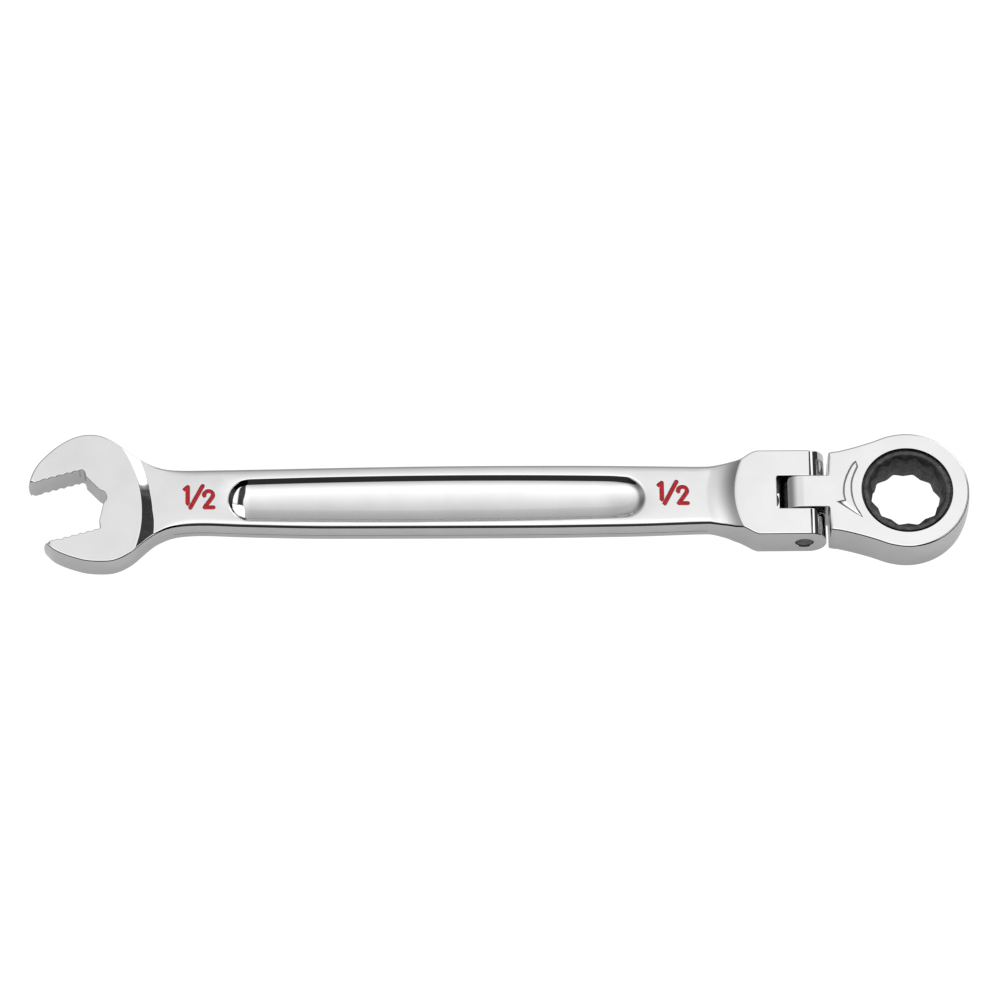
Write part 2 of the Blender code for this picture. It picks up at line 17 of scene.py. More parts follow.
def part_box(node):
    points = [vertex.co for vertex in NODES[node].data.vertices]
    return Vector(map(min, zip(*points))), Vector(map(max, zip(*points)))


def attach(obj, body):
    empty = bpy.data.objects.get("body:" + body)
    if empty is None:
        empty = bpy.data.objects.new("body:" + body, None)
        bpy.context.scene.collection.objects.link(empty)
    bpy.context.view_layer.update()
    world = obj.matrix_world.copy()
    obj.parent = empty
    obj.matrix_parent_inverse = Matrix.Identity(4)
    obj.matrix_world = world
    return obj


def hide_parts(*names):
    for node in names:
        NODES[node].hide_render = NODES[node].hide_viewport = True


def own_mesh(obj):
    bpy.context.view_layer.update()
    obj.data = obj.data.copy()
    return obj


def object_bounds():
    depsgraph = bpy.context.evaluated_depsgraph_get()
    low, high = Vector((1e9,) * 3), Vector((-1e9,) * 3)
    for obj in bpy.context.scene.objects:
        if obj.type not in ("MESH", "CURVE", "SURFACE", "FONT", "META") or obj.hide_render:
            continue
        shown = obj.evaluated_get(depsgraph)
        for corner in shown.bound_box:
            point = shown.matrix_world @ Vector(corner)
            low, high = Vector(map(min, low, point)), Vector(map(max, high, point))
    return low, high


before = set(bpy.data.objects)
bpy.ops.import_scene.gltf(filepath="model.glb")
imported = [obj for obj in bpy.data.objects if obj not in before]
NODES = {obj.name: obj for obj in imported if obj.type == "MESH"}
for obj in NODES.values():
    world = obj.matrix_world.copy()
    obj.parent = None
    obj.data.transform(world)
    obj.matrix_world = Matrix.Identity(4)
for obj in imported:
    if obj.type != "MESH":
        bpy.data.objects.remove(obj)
cad_box = [list(corner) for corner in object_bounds()]

MM = 0.001

PIN_X = 59.33
RING_X = 79.5
SHANK_Z = 2.9  # half-thickness of the shank
DISC_RISE = 0.36  # how far the open end's flat disc stands above the shank
CLEVIS_Z = 4.3
CLEVIS_HALF_WIDTH = 9.08
EAR_ROUND_X = 60.4  # where the ears' flat faces end
EAR_ROUND = 3.23
SLOT_HALF_WIDTH = 3.44
SLOT_FLOOR_X = 54.06
RAMP_RUN = 5.6  # length of the hollow ramp from the shank up to the clevis

JAW_CENTRE = np.array((-84.2, -0.9))
JAW_TILT = math.radians(15.5)
JAW_HALF_WIDTH = 6.4

PIN_BORE = 1.8
PLUNGER_BORE = 1.25
SPRING_BORE = 1.2
PAWL_Z = 1.6

SMOOTH_ANGLE = math.radians(38)
SHUT = 1e-4  # where the two faces of a slab are nearer than this, they share their points


# ---------------------------------------------------------------- plan curves


def curve_through(points, step=1.0):
    """A Catmull-Rom curve through the points, cut into pieces no longer than the step."""
    points = np.array(points, float)
    ends = np.vstack([2 * points[0] - points[1], points, 2 * points[-1] - points[-2]])
    pieces = []
    for i in range(1, len(ends) - 2):
        a, b, c, d = ends[i - 1 : i + 3]
        count = max(1, math.ceil(np.linalg.norm(c - b) / step))
        t = (np.arange(count) / count)[:, None]
        pieces.append(
            0.5 * (2 * b + (c - a) * t + (2 * a - 5 * b + 4 * c - d) * t**2
                   + (3 * b - a - 3 * c + d) * t**3)
        )
    return np.vstack(pieces + [points[-1:]])


def arc(centre, radius, start, end, step=3.0):
    """Points on a circle between two angles in degrees, both ends included."""
    angles = np.radians(np.linspace(start, end, max(2, math.ceil(abs(end - start) / step) + 1)))
    return np.array(centre) + radius * np.stack([np.cos(angles), np.sin(angles)], 1)


def offset(line, distance, closed=False):
    """The line moved to its left by a distance, or by one distance for each point."""
    line = np.asarray(line, float)
    if closed:
        ahead = np.roll(line, -1, 0) - line
        behind = line - np.roll(line, 1, 0)
    else:
        steps = np.diff(line, axis=0)
        ahead = np.vstack([steps, steps[-1:]])
        behind = np.vstack([steps[:1], steps])
    ahead = ahead / np.linalg.norm(ahead, axis=1, keepdims=True)
    behind = behind / np.linalg.norm(behind, axis=1, keepdims=True)
    left = np.stack([-(ahead + behind)[:, 1], (ahead + behind)[:, 0]], 1)
    left /= np.maximum(1 + (ahead * behind).sum(1, keepdims=True), 0.4)
    return line + np.reshape(distance, (-1, 1)) * left


def resample(line, step):
    """Extra points so that no piece of the line is longer than the step."""
    line = np.asarray(line, float)
    pieces = []
    for a, b in zip(line, line[1:]):
        count = max(1, math.ceil(np.linalg.norm(b - a) / step))
        pieces.append(a + (b - a) * (np.arange(count) / count)[:, None])
    return np.vstack(pieces + [line[-1:]])


def distance_to(points, line, closed=False):
    """Distance from each point to a line."""
    a = np.asarray(line, float) if closed else np.asarray(line, float)[:-1]
    b = np.roll(a, -1, 0) if closed else np.asarray(line, float)[1:]
    along = b - a
    length = np.maximum((along**2).sum(1), 1e-18)
    nearest = []
    for i in range(0, len(points), 2000):
        gap = points[i : i + 2000, None] - a
        t = np.clip((gap * along).sum(2) / length, 0, 1)
        nearest.append(np.linalg.norm(gap - t[..., None] * along, axis=2).min(1))
    return np.concatenate(nearest)


def inside(points, loop):
    """Which points lie inside a closed loop."""
    loop = np.asarray(loop, float)
    odd = np.zeros(len(points), bool)
    for a, b in zip(loop, np.roll(loop, -1, 0)):
        if a[1] == b[1]:
            continue
        crosses = (a[1] > points[:, 1]) != (b[1] > points[:, 1])
        x = a[0] + (points[:, 1] - a[1]) * (b[0] - a[0]) / (b[1] - a[1])
        odd ^= crosses & (points[:, 0] < x)
    return odd


def smooth(x):
    """0 to 1, level at both ends."""
    x = np.clip(x, 0, 1)
    return x * x * (3 - 2 * x)


# ---------------------------------------------------------------- meshes


def flat_mesh(lines, keep):
    """Triangles between the lines, where the rule keeps their middles. A line is (points, is it closed)."""
    points, edges = [], []
    for line, closed in lines:
        first = len(points)
        count = len(line)
        points += [Vector(p) for p in line]
        edges += [(first + i, first + i + 1) for i in range(count - 1)]
        if closed:
            edges.append((first + count - 1, first))
    corners, _, faces = delaunay_2d_cdt(points, edges, [], 0, 1e-5)[:3]
    plan = np.array([tuple(c) for c in corners])
    faces = np.array([f for f in faces])
    faces = faces[keep(plan[faces].mean(1))]
    used, faces = np.unique(faces, return_inverse=True)
    return plan[used], faces.reshape(-1, 3)


def scattered(low, high, step):
    """Lone points over a flat face. They keep the shading of its edges from smearing across it."""
    xs = np.arange(low[0], high[0], step)
    ys = np.arange(low[1], high[1], step)
    return [([(x, y)], False) for x in xs for y in ys]


def slab(name, lines, keep, top, bottom, waist=None):
    """A closed solid between two height fields. A waist draws the middle of the side wall in."""
    guard_depth, guard_share, sliver = 0.1, 0.2, 1e-9
    plan, faces = flat_mesh(lines, keep)
    a, b, c = (plan[faces[:, i]] for i in range(3))
    turn = (b[:, 0] - a[:, 0]) * (c[:, 1] - a[:, 1]) - (b[:, 1] - a[:, 1]) * (c[:, 0] - a[:, 0])
    faces = faces[np.abs(turn) > sliver]
    turn = turn[np.abs(turn) > sliver]
    faces[turn < 0] = faces[turn < 0][:, ::-1]
    high, low = top(plan), bottom(plan)
    count = len(plan)
    vertices = [(x, y, z) for (x, y), z in zip(plan, high)]
    shut = high - low < SHUT
    lower = np.arange(count)
    for i in np.flatnonzero(~shut):
        lower[i] = len(vertices)
        vertices.append((*plan[i], low[i]))
    for i in np.flatnonzero(shut):
        vertices[i] = (*plan[i], (high[i] + low[i]) / 2)
    polygons = [tuple(map(int, f)) for f in faces]
    polygons += [tuple(int(lower[i]) for i in f[::-1]) for f in faces]
    directed = {(f[i], f[(i + 1) % 3]) for f in faces.tolist() for i in range(3)}
    rim = [(i, j) for i, j in directed if (j, i) not in directed]
    outward = np.zeros((count, 2))
    for i, j in rim:
        step = plan[j] - plan[i]
        normal = np.array((step[1], -step[0])) / max(np.linalg.norm(step), sliver)
        outward[i] += normal
        outward[j] += normal
    columns = {}
    for i in sorted({k for edge in rim for k in edge}):
        if shut[i]:
            columns[i] = [i]
            continue
        depth = high[i] - low[i]
        guard = min(guard_depth, guard_share * depth)
        x, y = plan[i]
        column = [i]
        heights = [high[i] - guard, (high[i] + low[i]) / 2, low[i] + guard]
        drawn = 0.0 if waist is None else float(waist(plan[i : i + 1])[0])
        inward = -outward[i] / max(np.linalg.norm(outward[i]), sliver) * drawn
        for k, z in enumerate(heights):
            shift = inward if k == 1 else (0.0, 0.0)
            column.append(len(vertices))
            vertices.append((x + shift[0], y + shift[1], z))
        columns[i] = column + [int(lower[i])]
    for i, j in rim:
        near, far = columns[i], columns[j]
        if len(near) == 1 and len(far) == 1:
            continue
        if len(near) == 1:
            near = near * len(far)
        if len(far) == 1:
            far = far * len(near)
        for k in range(len(near) - 1):
            ring = []
            for v in (near[k], near[k + 1], far[k + 1], far[k]):
                if v not in ring:
                    ring.append(v)
            if len(ring) > 2:
                polygons.append(tuple(ring))
    return piece_from(name, vertices, polygons)


def piece_from(name, vertices, polygons):
    """An object in the frame, from millimetres, shaded smooth between faces that nearly agree."""
    mesh = bpy.data.meshes.new(name)
    mesh.from_pydata([tuple(c * MM for c in v) for v in vertices], [], polygons)
    mesh.validate()
    bm = bmesh.new()
    bm.from_mesh(mesh)
    bmesh.ops.remove_doubles(bm, verts=bm.verts, dist=1e-7)
    bmesh.ops.recalc_face_normals(bm, faces=bm.faces)
    bm.to_mesh(mesh)
    bm.free()
    obj = bpy.data.objects.new(name, mesh)
    bpy.context.scene.collection.objects.link(obj)
    shade(obj)
    return obj


def shade(obj):
    obj.data.shade_smooth()
    obj.data.set_sharp_from_angle(angle=SMOOTH_ANGLE)


def turned(name, profile, segments, centre=(0, 0, 0), axis="Z", closed=False):
    """A solid of revolution. The profile is (radius, height) pairs, and either may be an array over the
    angles. Segments is the number of angles, or the angles themselves in degrees.
    """
    if np.ndim(segments):
        angles = np.radians(np.asarray(segments))
    else:
        angles = np.linspace(0, 2 * np.pi, segments, False)
    count = len(angles)
    vertices, polygons = [], []
    for radius, height in profile:
        radius = np.broadcast_to(radius, count)
        height = np.broadcast_to(height, count)
        for angle, r, h in zip(angles, radius, height):
            p = Vector((r * math.cos(angle), r * math.sin(angle), h))
            if axis == "Y":
                p = Vector((p.x, -p.z, p.y))
            elif axis == "X":
                p = Vector((p.z, p.y, -p.x))
            vertices.append(tuple(p + Vector(centre)))
    rows = len(profile)
    for row in range(rows if closed else rows - 1):
        below, above = row * count, (row + 1) % rows * count
        for i in range(count):
            j = (i + 1) % count
            polygons.append((below + i, below + j, above + j, above + i))
    return piece_from(name, vertices, polygons)


def cut(target, *cutters):
    """Takes the cutters out of the target and discards them."""
    for cutter in cutters:
        modifier = target.modifiers.new(cutter.name, "BOOLEAN")
        modifier.operation = "DIFFERENCE"
        modifier.solver = "EXACT"
        modifier.object = cutter
    bpy.context.view_layer.update()
    evaluated = target.evaluated_get(bpy.context.evaluated_depsgraph_get())
    mesh = bpy.data.meshes.new_from_object(evaluated)
    target.modifiers.clear()
    target.data = mesh
    for cutter in cutters:
        bpy.data.objects.remove(cutter)
    shade(target)


def block(name, low, high):
    """A plain box, used only as a cutter."""
    (x0, y0, z0), (x1, y1, z1) = low, high
    vertices = [(x, y, z) for x in (x0, x1) for y in (y0, y1) for z in (z0, z1)]
    polygons = [(0, 1, 3, 2), (4, 6, 7, 5), (0, 4, 5, 1), (2, 3, 7, 6), (0, 2, 6, 4), (1, 5, 7, 3)]
    return piece_from(name, vertices, polygons)


BULGE_EDGE = 0.04  # share of the height that is left at the mid-plane outline


def side_share(d, bulge, width, share):
    """Height at a distance d from the mid-plane outline of a bulged wall, as a share of the full height.
    A rounding of this width, and of this share of the height, tops the wall.
    """
    wall = BULGE_EDGE + (1 - BULGE_EDGE - share) * np.sqrt(np.clip(d / bulge, 0, 1))
    t = np.clip((d - bulge) / width, 0, 1)
    return np.where(d < bulge, wall, 1 - share + share * np.sqrt(1 - (1 - t) ** 2))


def side_lines(line, bulge, width):
    """Lines beside a bulged wall, where its profile needs points."""
    on_wall = (0.06, 0.2, 0.45, 0.75, 1.0)
    on_rounding = (0.03, 0.1, 0.22, 0.38, 0.56, 0.77, 1.0)
    guard = 0.08
    lines = [offset(line, bulge * part) for part in on_wall]
    lines += [offset(line, bulge + width * part) for part in on_rounding]
    lines.append(offset(line, bulge + width + guard))
    return lines


BREAK_AT = (0.0, 0.03, 0.07, 0.12)
BREAK_DROP = (0.1, 0.055, 0.02, 0.0)
BREAK_GUARD = 0.2
ROUND_END_ANGLES = np.radians((-1, *range(0, 72, 6), 72, 77, 81, 84.5, 87, 88.5, 89.5))


def edge_break(d):
    """The small chamfer along a machined wall."""
    return np.interp(d, BREAK_AT, BREAK_DROP)


def cut_lines(line):
    """Lines beside a machined wall, where its chamfer needs points."""
    return [offset(line, d) for d in (*BREAK_AT[1:], BREAK_GUARD)]


# ---------------------------------------------------------------- handle outline


def grow(x):
    """How far the mid-plane outline stands out beyond the face's own outline, along the handle."""
    return np.interp(x, (-68, -62, 43, 48), (0.35, 0.28, 0.28, 0.0))


def bulge_at(x):
    """How far the side wall bulges, along the handle."""
    return np.interp(x, (-68, -62, 41, 49), (0.28, 0.26, 0.26, 0.06))


def rounding_at(x):
    """Width of the rounding beside the face, and its share of the thickness, along the handle."""
    width = np.interp(x, (-70, -62, 41, 49), (0.3, 0.72, 0.72, 0.3))
    share = np.interp(x, (-70, -62, 41, 49), (0.09, 0.21, 0.21, 0.07))
    return width, share


# the handle's outline on its faces: the +Y side from the clevis to one jaw's tip, and the -Y side from the
# other jaw's tip back to the clevis
FACE_UPPER = (
    (50.0, 9.08), (48.5, 8.3), (47.15, 7.45), (45.4, 7.1), (43.3, 6.7), (41.2, 6.48), (39.0, 6.45),
    (28.0, 6.68), (15.0, 6.9), (-8.0, 7.05), (-29.0, 6.92), (-45.0, 6.7), (-57.5, 6.58), (-62.0, 6.55),
    (-64.5, 6.62), (-66.5, 6.95), (-68.4, 7.65), (-70.4, 8.8), (-72.4, 10.2), (-74.4, 11.75),
    (-76.4, 13.05), (-78.3, 13.85), (-80.2, 14.07), (-82.1, 13.85), (-84.1, 13.12), (-86.15, 11.85),
    (-88.1, 10.2), (-90.0, 8.15), (-91.15, 6.2), (-91.68, 4.75),
)
FACE_LOWER = (
    (-88.4, -9.15), (-87.0, -10.45), (-84.95, -11.5), (-82.9, -12.25), (-80.8, -12.83), (-78.3, -13.05),
    (-75.9, -12.95), (-73.9, -12.3), (-71.9, -11.1), (-70.2, -9.6), (-68.5, -8.1), (-66.8, -6.95),
    (-64.5, -6.0), (-62.0, -5.58), (-57.5, -5.45), (-50.0, -5.8), (-38.0, -6.2), (-29.0, -6.32),
    (-8.0, -6.46), (8.0, -6.52), (20.0, -6.45), (28.0, -6.36), (39.0, -6.05), (41.5, -6.1), (44.0, -6.6),
    (45.8, -7.2), (47.3, -7.6), (48.8, -8.4), (50.0, -9.08),
)


def jaw_wall():
    """The inner contour of the jaws, from the upper tip round the throat to the lower tip."""
    teeth, pitch, depth, start = 5, 1.55, 0.24, -3.7
    upper_tip_x, lower_tip_x = 5.75, 6.05
    grip = []
    for tooth in range(teeth):
        for part in np.arange(0, 1, 0.1):
            rise = 0.5 - 0.5 * math.cos(2 * math.pi * part)
            grip.append((start + (tooth + part) * pitch, JAW_HALF_WIDTH + rise * depth))
    relief = [
        (-3.95, 6.5), (-4.25, 6.55), (-4.55, 6.45), (-4.76, 6.2), (-4.85, 5.85), (-4.84, 5.4), (-4.78, 5.0),
    ]
    notch = [
        (-6.5, 1.72), (-6.68, 1.45), (-6.95, 1.2), (-7.3, 0.95), (-7.52, 0.6), (-7.6, 0.25), (-7.62, 0.0),
    ]
    half = [*notch[::-1], *relief[::-1], *grip]
    upper = [(x, -y) for x, y in reversed(half)][:-1]
    upper = [(upper_tip_x, -JAW_HALF_WIDTH), *upper]
    lower = [*half, (lower_tip_x, JAW_HALF_WIDTH)]
    local = np.array(upper + lower)
    angle = math.pi + JAW_TILT
    turn = np.array(((math.cos(angle), -math.sin(angle)), (math.sin(angle), math.cos(angle))))
    return JAW_CENTRE + local @ turn.T


def grown(points, sign):
    """The mid-plane outline of a side, from its outline on the face."""
    line = curve_through(points, 0.8)
    return offset(line, sign * grow(line[:, 0]))


JAWS = resample(jaw_wall(), 0.3)
ear_x = EAR_ROUND_X + EAR_ROUND
ear_root_x = 50.3
slot_corner = 0.4
upper_body = grown(FACE_UPPER, -1)
lower_body = grown(FACE_LOWER, -1)
upper_tip = curve_through([upper_body[-1], (-92.17, 3.98), (-91.9, 3.6), JAWS[0]], 0.15)
lower_tip = curve_through([JAWS[-1], (-88.8, -8.82), (-88.98, -9.05), lower_body[0]], 0.15)
SIDE_UPPER = np.vstack([
    resample([(ear_x, CLEVIS_HALF_WIDTH), (ear_root_x, CLEVIS_HALF_WIDTH)], 1.5),
    upper_body[1:], upper_tip[1:],
])
SIDE_LOWER = np.vstack([
    lower_tip[:-1], lower_body[:-1],
    resample([(ear_root_x, -CLEVIS_HALF_WIDTH), (ear_x, -CLEVIS_HALF_WIDTH)], 1.5),
])
SLOT = np.vstack([
    [(ear_x, -SLOT_HALF_WIDTH)],
    arc((SLOT_FLOOR_X + slot_corner, -SLOT_HALF_WIDTH + slot_corner), slot_corner, 270, 180, 22.5),
    arc((SLOT_FLOOR_X + slot_corner, SLOT_HALF_WIDTH - slot_corner), slot_corner, 180, 90, 22.5),
    [(ear_x, SLOT_HALF_WIDTH)],
])
HANDLE_OUTLINE = np.vstack([SIDE_LOWER, SLOT, SIDE_UPPER, JAWS[1:-1]])


# ---------------------------------------------------------------- handle surface

RECESS_CENTRE = (-12.25, -0.12)
RECESS_HALF_LENGTH = 40.5
RIM_START = -0.5  # where the recess's rim begins to turn down, from the recess's outline
FLOOR_RUN = 2.9  # how far the floor keeps sinking towards the middle
FLOOR_SAG = 0.47


def recess_loop():
    """The recess's outline on the face: two round noses and bowed sides, anticlockwise."""
    nose, nose_half, half = 3.9, 4.1, 4.58  # a nose's length and half-width, and the middle's half-width
    quarter = []
    for i in range(13):
        angle = math.radians(90 * i / 12)
        quarter.append((RECESS_HALF_LENGTH - nose + nose * math.cos(angle), nose_half * math.sin(angle)))
    nose_x = quarter[-1][0]
    for share in np.linspace(1, 0, 22)[1:]:
        x = nose_x * share
        quarter.append((x, nose_half + (half - nose_half) * (1 - share**2)))
    quarter = np.array(quarter)
    upper = np.vstack([quarter, (quarter * (-1, 1))[-2::-1]])
    lower = (upper * (1, -1))[-2:0:-1]
    return np.vstack([upper, lower]) + RECESS_CENTRE


def recess_profile():
    """Distance into the recess and depth there, over a round rim, a steep wall and a toe onto the floor."""
    rim, toe, slope, straight = 0.42, 1.0, math.radians(52), 0.32
    floor_slope = math.atan(2 * FLOOR_SAG / FLOOR_RUN)
    run, depth = RIM_START, 0.0
    rows = [(run, depth)]
    for i in range(1, 6):
        angle = slope * i / 5
        rows.append((run + rim * math.sin(angle), depth + rim * (1 - math.cos(angle))))
    run, depth = rows[-1][0] + straight / math.tan(slope), rows[-1][1] + straight
    rows.append((run, depth))
    for i in range(1, 7):
        angle = slope + (floor_slope - slope) * i / 6
        across = toe * (math.sin(slope) - math.sin(angle))
        rows.append((run + across, depth + toe * (math.cos(angle) - math.cos(slope))))
    return rows


RECESS = recess_loop()
RECESS_ROWS = recess_profile()


def recess_depth(plan):
    """Depth of the recess below the face, with its sagging floor."""
    reach = np.where(inside(plan, RECESS), 1, -1) * distance_to(plan, RECESS, True)
    x = plan[:, 0]
    gentle = 1 - 0.5 * smooth((x - 20.5) / 6)  # the nose by the clevis slopes half as steeply
    reach = (reach - RIM_START) * gentle + RIM_START
    runs, depths = np.array(RECESS_ROWS).T
    depth = np.interp(reach, runs, depths)
    into_floor = np.clip((reach - runs[-1]) / FLOOR_RUN, 0, 1)
    return depth + FLOOR_SAG * (1 - (1 - into_floor) ** 2)


DISC_CENTRE = np.array((-94.5, -2.1))
DISC_RADIUS = 24.42


def disc_width(angle):
    """Width of the slope from the disc to the shank, at an angle about the disc's centre."""
    return np.interp(np.degrees(angle), (-15, -10, -5, 0, 8), (3.2, 3.1, 2.8, 2.35, 2.1))


def ramp(u, ease=0.1):
    """0 to 1 at an even slope, eased at both ends."""
    u = np.clip(u, 0, 1)
    low = np.minimum(u, 1 - u)
    rise = np.where(low < ease, low**2 / (2 * ease), low - ease / 2) / (1 - ease)
    return np.where(u < 0.5, rise, 1 - rise)


def disc_share(plan):
    """1 on the open end's raised face, falling to 0 on the shank."""
    from_centre = plan - DISC_CENTRE
    angle = np.arctan2(from_centre[:, 1], from_centre[:, 0])
    along = (np.linalg.norm(from_centre, axis=1) - DISC_RADIUS) / disc_width(angle)
    return 1 - ramp(along)


def ramp_top_x(y):
    """Where the clevis's flat face begins, on a bowed line."""
    middle_x, middle_y, bow = 45.79, 0.1, 0.0305
    return middle_x + bow * (y - middle_y) ** 2


RAMP_RISE = CLEVIS_Z - SHANK_Z
RAMP_RADIUS = (RAMP_RUN**2 + RAMP_RISE**2) / (2 * RAMP_RISE)


def handle_base(plan):
    """Height of the face before its sides, its recess and its chamfers."""
    x, y = plan.T
    z = SHANK_Z + DISC_RISE * disc_share(plan)
    along = np.clip(x - ramp_top_x(y) + RAMP_RUN, 0, RAMP_RUN + 1)
    hollow = SHANK_Z + RAMP_RADIUS - np.sqrt(RAMP_RADIUS**2 - along**2)
    softness = 0.05
    capped = 0.5 * (hollow + CLEVIS_Z - np.sqrt((hollow - CLEVIS_Z) ** 2 + softness**2))
    z = np.where(along > 0, np.maximum(capped, z), z)
    past = np.clip((x - EAR_ROUND_X) / EAR_ROUND, 0, 1)
    return np.minimum(z, CLEVIS_Z * np.sqrt(1 - past**2))


CROWN = 0.22  # how far the shank's face falls off towards its sides
CROWN_RUN = 1.8
CROWN_FADE = 0.3


def handle_height(plan):
    """Half-thickness of the handle, both faces alike."""
    x = plan[:, 0]
    d = np.minimum(distance_to(plan, SIDE_UPPER), distance_to(plan, SIDE_LOWER))
    height = (handle_base(plan) - recess_depth(plan)) * side_share(d, bulge_at(x), *rounding_at(x))
    crown = np.interp(x, (-66, -60, 38, 44), (0.0, CROWN, CROWN, 0.0))
    height -= crown * (1 - np.clip(d / CROWN_RUN, 0, 1)) ** 2 * np.clip(d / CROWN_FADE, 0, 1)
    machined = np.minimum(distance_to(plan, JAWS), distance_to(plan, SLOT))
    return height - edge_break(machined) * np.clip(height, 0, 1)


# ---------------------------------------------------------------- size marks

MARK_Y = 0.6
MARK_XS = {"open_end": -58.7, "clevis_end": 33.9}
MARK_REACH_Y = 4  # the marks lie within this distance of the middle line
GROOVE_AT = (0.25, 0.3, 0.345, 0.375, 0.41, 0.46, 0.52)
GROOVE_DEPTH = (0.3, 0.27, 0.16, 0.06, 0.015, 0.0, 0.0)


def mark_strokes(x):
    """The pen strokes of each sign of a size mark."""
    bowl = arc((1.75, 0.42), 0.86, 188, -38, 10)
    foot = (0.98, -2.2)
    signs = {
        "one": [[(-2.88, 1.68), (-2.3, 2.2)], [(-2.3, 2.2), (-2.3, -1.4)]],
        "stroke": [[(-1.8, -2.25), (0.6, 2.4)]],
        "two": [np.vstack([bowl, [foot]]), [foot, (2.7, -2.2)]],
    }
    return {name: [np.array(s) + (x, MARK_Y) for s in strokes] for name, strokes in signs.items()}


def stroke_loop(stroke, reach):
    """The outline of a pen stroke with round ends."""
    left, right = offset(stroke, reach), offset(stroke, -reach)
    first = math.degrees(math.atan2(*(stroke[1] - stroke[0])[::-1]))
    last = math.degrees(math.atan2(*(stroke[-1] - stroke[-2])[::-1]))
    head = arc(stroke[-1], reach, last + 90, last - 90, 18)[1:-1]
    tail = arc(stroke[0], reach, first - 90, first - 270, 18)[1:-1]
    return np.vstack([left, head, right[::-1], tail])


def mark_distance(plan, strokes):
    """Distance from each point to the nearest stroke."""
    return np.min([distance_to(plan, stroke) for stroke in strokes], axis=0)


ALL_STROKES = [s for x in MARK_XS.values() for strokes in mark_strokes(x).values() for s in strokes]


def marked_face(plan):
    """The handle's upper face, with the grooves of the size marks."""
    height = handle_height(plan)
    near = np.abs(plan[:, 1]) < MARK_REACH_Y
    depth = np.zeros(len(plan))
    depth[near] = np.interp(mark_distance(plan[near], ALL_STROKES), GROOVE_AT, GROOVE_DEPTH)
    return height - depth


def handle():
    """The forging with its pin bore and plunger bore."""
    lines = [(HANDLE_OUTLINE, True)]
    for side in (SIDE_UPPER, SIDE_LOWER):
        along = side[:, 0]
        lines += [(line, False) for line in side_lines(side, bulge_at(along), rounding_at(along)[0])]
        shank = side[(side[:, 0] > -66) & (side[:, 0] < 44)]
        lines += [(offset(shank, d), False) for d in (1.25, 1.5, CROWN_RUN)]
    lines += [(line, False) for wall in (JAWS, SLOT) for line in cut_lines(wall)]
    for run, _ in RECESS_ROWS:
        lines.append((offset(RECESS, run, True), True))
    floor_start = RECESS_ROWS[-1][0]
    for share in (0.12, 0.25, 0.4, 0.55, 0.75):
        lines.append((offset(RECESS, floor_start + FLOOR_RUN * share, True), True))
    angles = np.radians(np.arange(-33, 36, 1.5))
    for share in (-0.05, 0, 0.025, 0.05, 0.075, 0.1, 0.5, 0.9, 0.925, 0.95, 0.975, 1.0, 1.05):
        radius = (DISC_RADIUS + disc_width(angles) * share)[:, None]
        lines.append((DISC_CENTRE + radius * np.stack([np.cos(angles), np.sin(angles)], 1), False))
    ys = np.linspace(-9.5, 9.5, 24)
    for back in (RAMP_RUN + 0.15, *np.linspace(RAMP_RUN, 0.45, 13), 0.25, 0.12, 0.0, -0.12, -0.3, -0.5):
        lines.append((np.stack([ramp_top_x(ys) - back, ys], 1), False))
    for angle in ROUND_END_ANGLES:
        x = EAR_ROUND_X + EAR_ROUND * math.sin(angle)
        lines.append((np.array([(x, -9.5), (x, 9.5)]), False))
    for stroke in ALL_STROKES:
        lines += [(stroke_loop(stroke, reach), True) for reach in GROOVE_AT]
    lines += scattered((-91.3, -12.4), (-73.0, 13.5), 1.0) + scattered((46.8, -8.3), (60.2, 8.4), 1.0)

    def waist(plan):
        return np.interp(plan[:, 0], (-70, -62, 40, 44), (0, 0.07, 0.07, 0))

    piece = slab(
        "handle", lines, lambda middles: inside(middles, HANDLE_OUTLINE),
        marked_face, lambda plan: -handle_height(plan), waist,
    )
    mouth, past_ears = 1.93, 10  # each end of the bore is chamfered
    half = [(PIN_BORE, 8.93), (mouth, 9.06), (mouth, past_ears), (0, past_ears)]
    pin_bore = turned("pin_bore", [(r, -y) for r, y in half[::-1]] + half, 48, (PIN_X, 0, 0), "Y")
    plunger_profile = [(0, -7.2), (PLUNGER_BORE, -7.2), (PLUNGER_BORE, 1), (0, 1)]
    plunger_bore = turned("plunger_bore", plunger_profile, 48, (SLOT_FLOOR_X, 0, 0), "X")
    cut(piece, pin_bore, plunger_bore)
    return piece


def enamel(place, sign, strokes):
    """The paint that fills one sign, dished a little between the groove's walls."""
    reach, dish, paint_top, paint_bottom = 0.35, 0.03, SHANK_Z - 0.13, SHANK_Z - 0.26
    levels = (reach, 0.3, 0.22, 0.1)
    lines = [(stroke_loop(s, level), True) for s in strokes for level in levels]

    def top(plan):
        d = mark_distance(plan, strokes)
        return paint_top + dish * (np.clip(d, 0, reach) / reach) ** 2

    return slab(
        f"{place}_enamel_{sign}", lines, lambda middles: mark_distance(middles, strokes) < reach,
        top, lambda plan: np.full(len(plan), paint_bottom),
    )


# ---------------------------------------------------------------- head

RING_RADIUS = 12.4  # at the mid-plane
SHOULDER_X = 64.25
SHOULDER_Y = 8.02
TANG_HALF_WIDTH = 3.34
TANG_ROOT = 0.35
TANG_RADIUS = 4.63
TANG_POWER = 2.3  # 2 would make the tang's end a half cylinder
HEAD_BULGE = 0.26
HEAD_ROUNDING = 0.36
HEAD_ROUNDING_SHARE = 0.075

FLARE = ((75.3, 11.72), (72.85, 10.78), (70.0, 9.85), (67.3, 9.1), (65.4, 8.66), (64.7, 8.42))


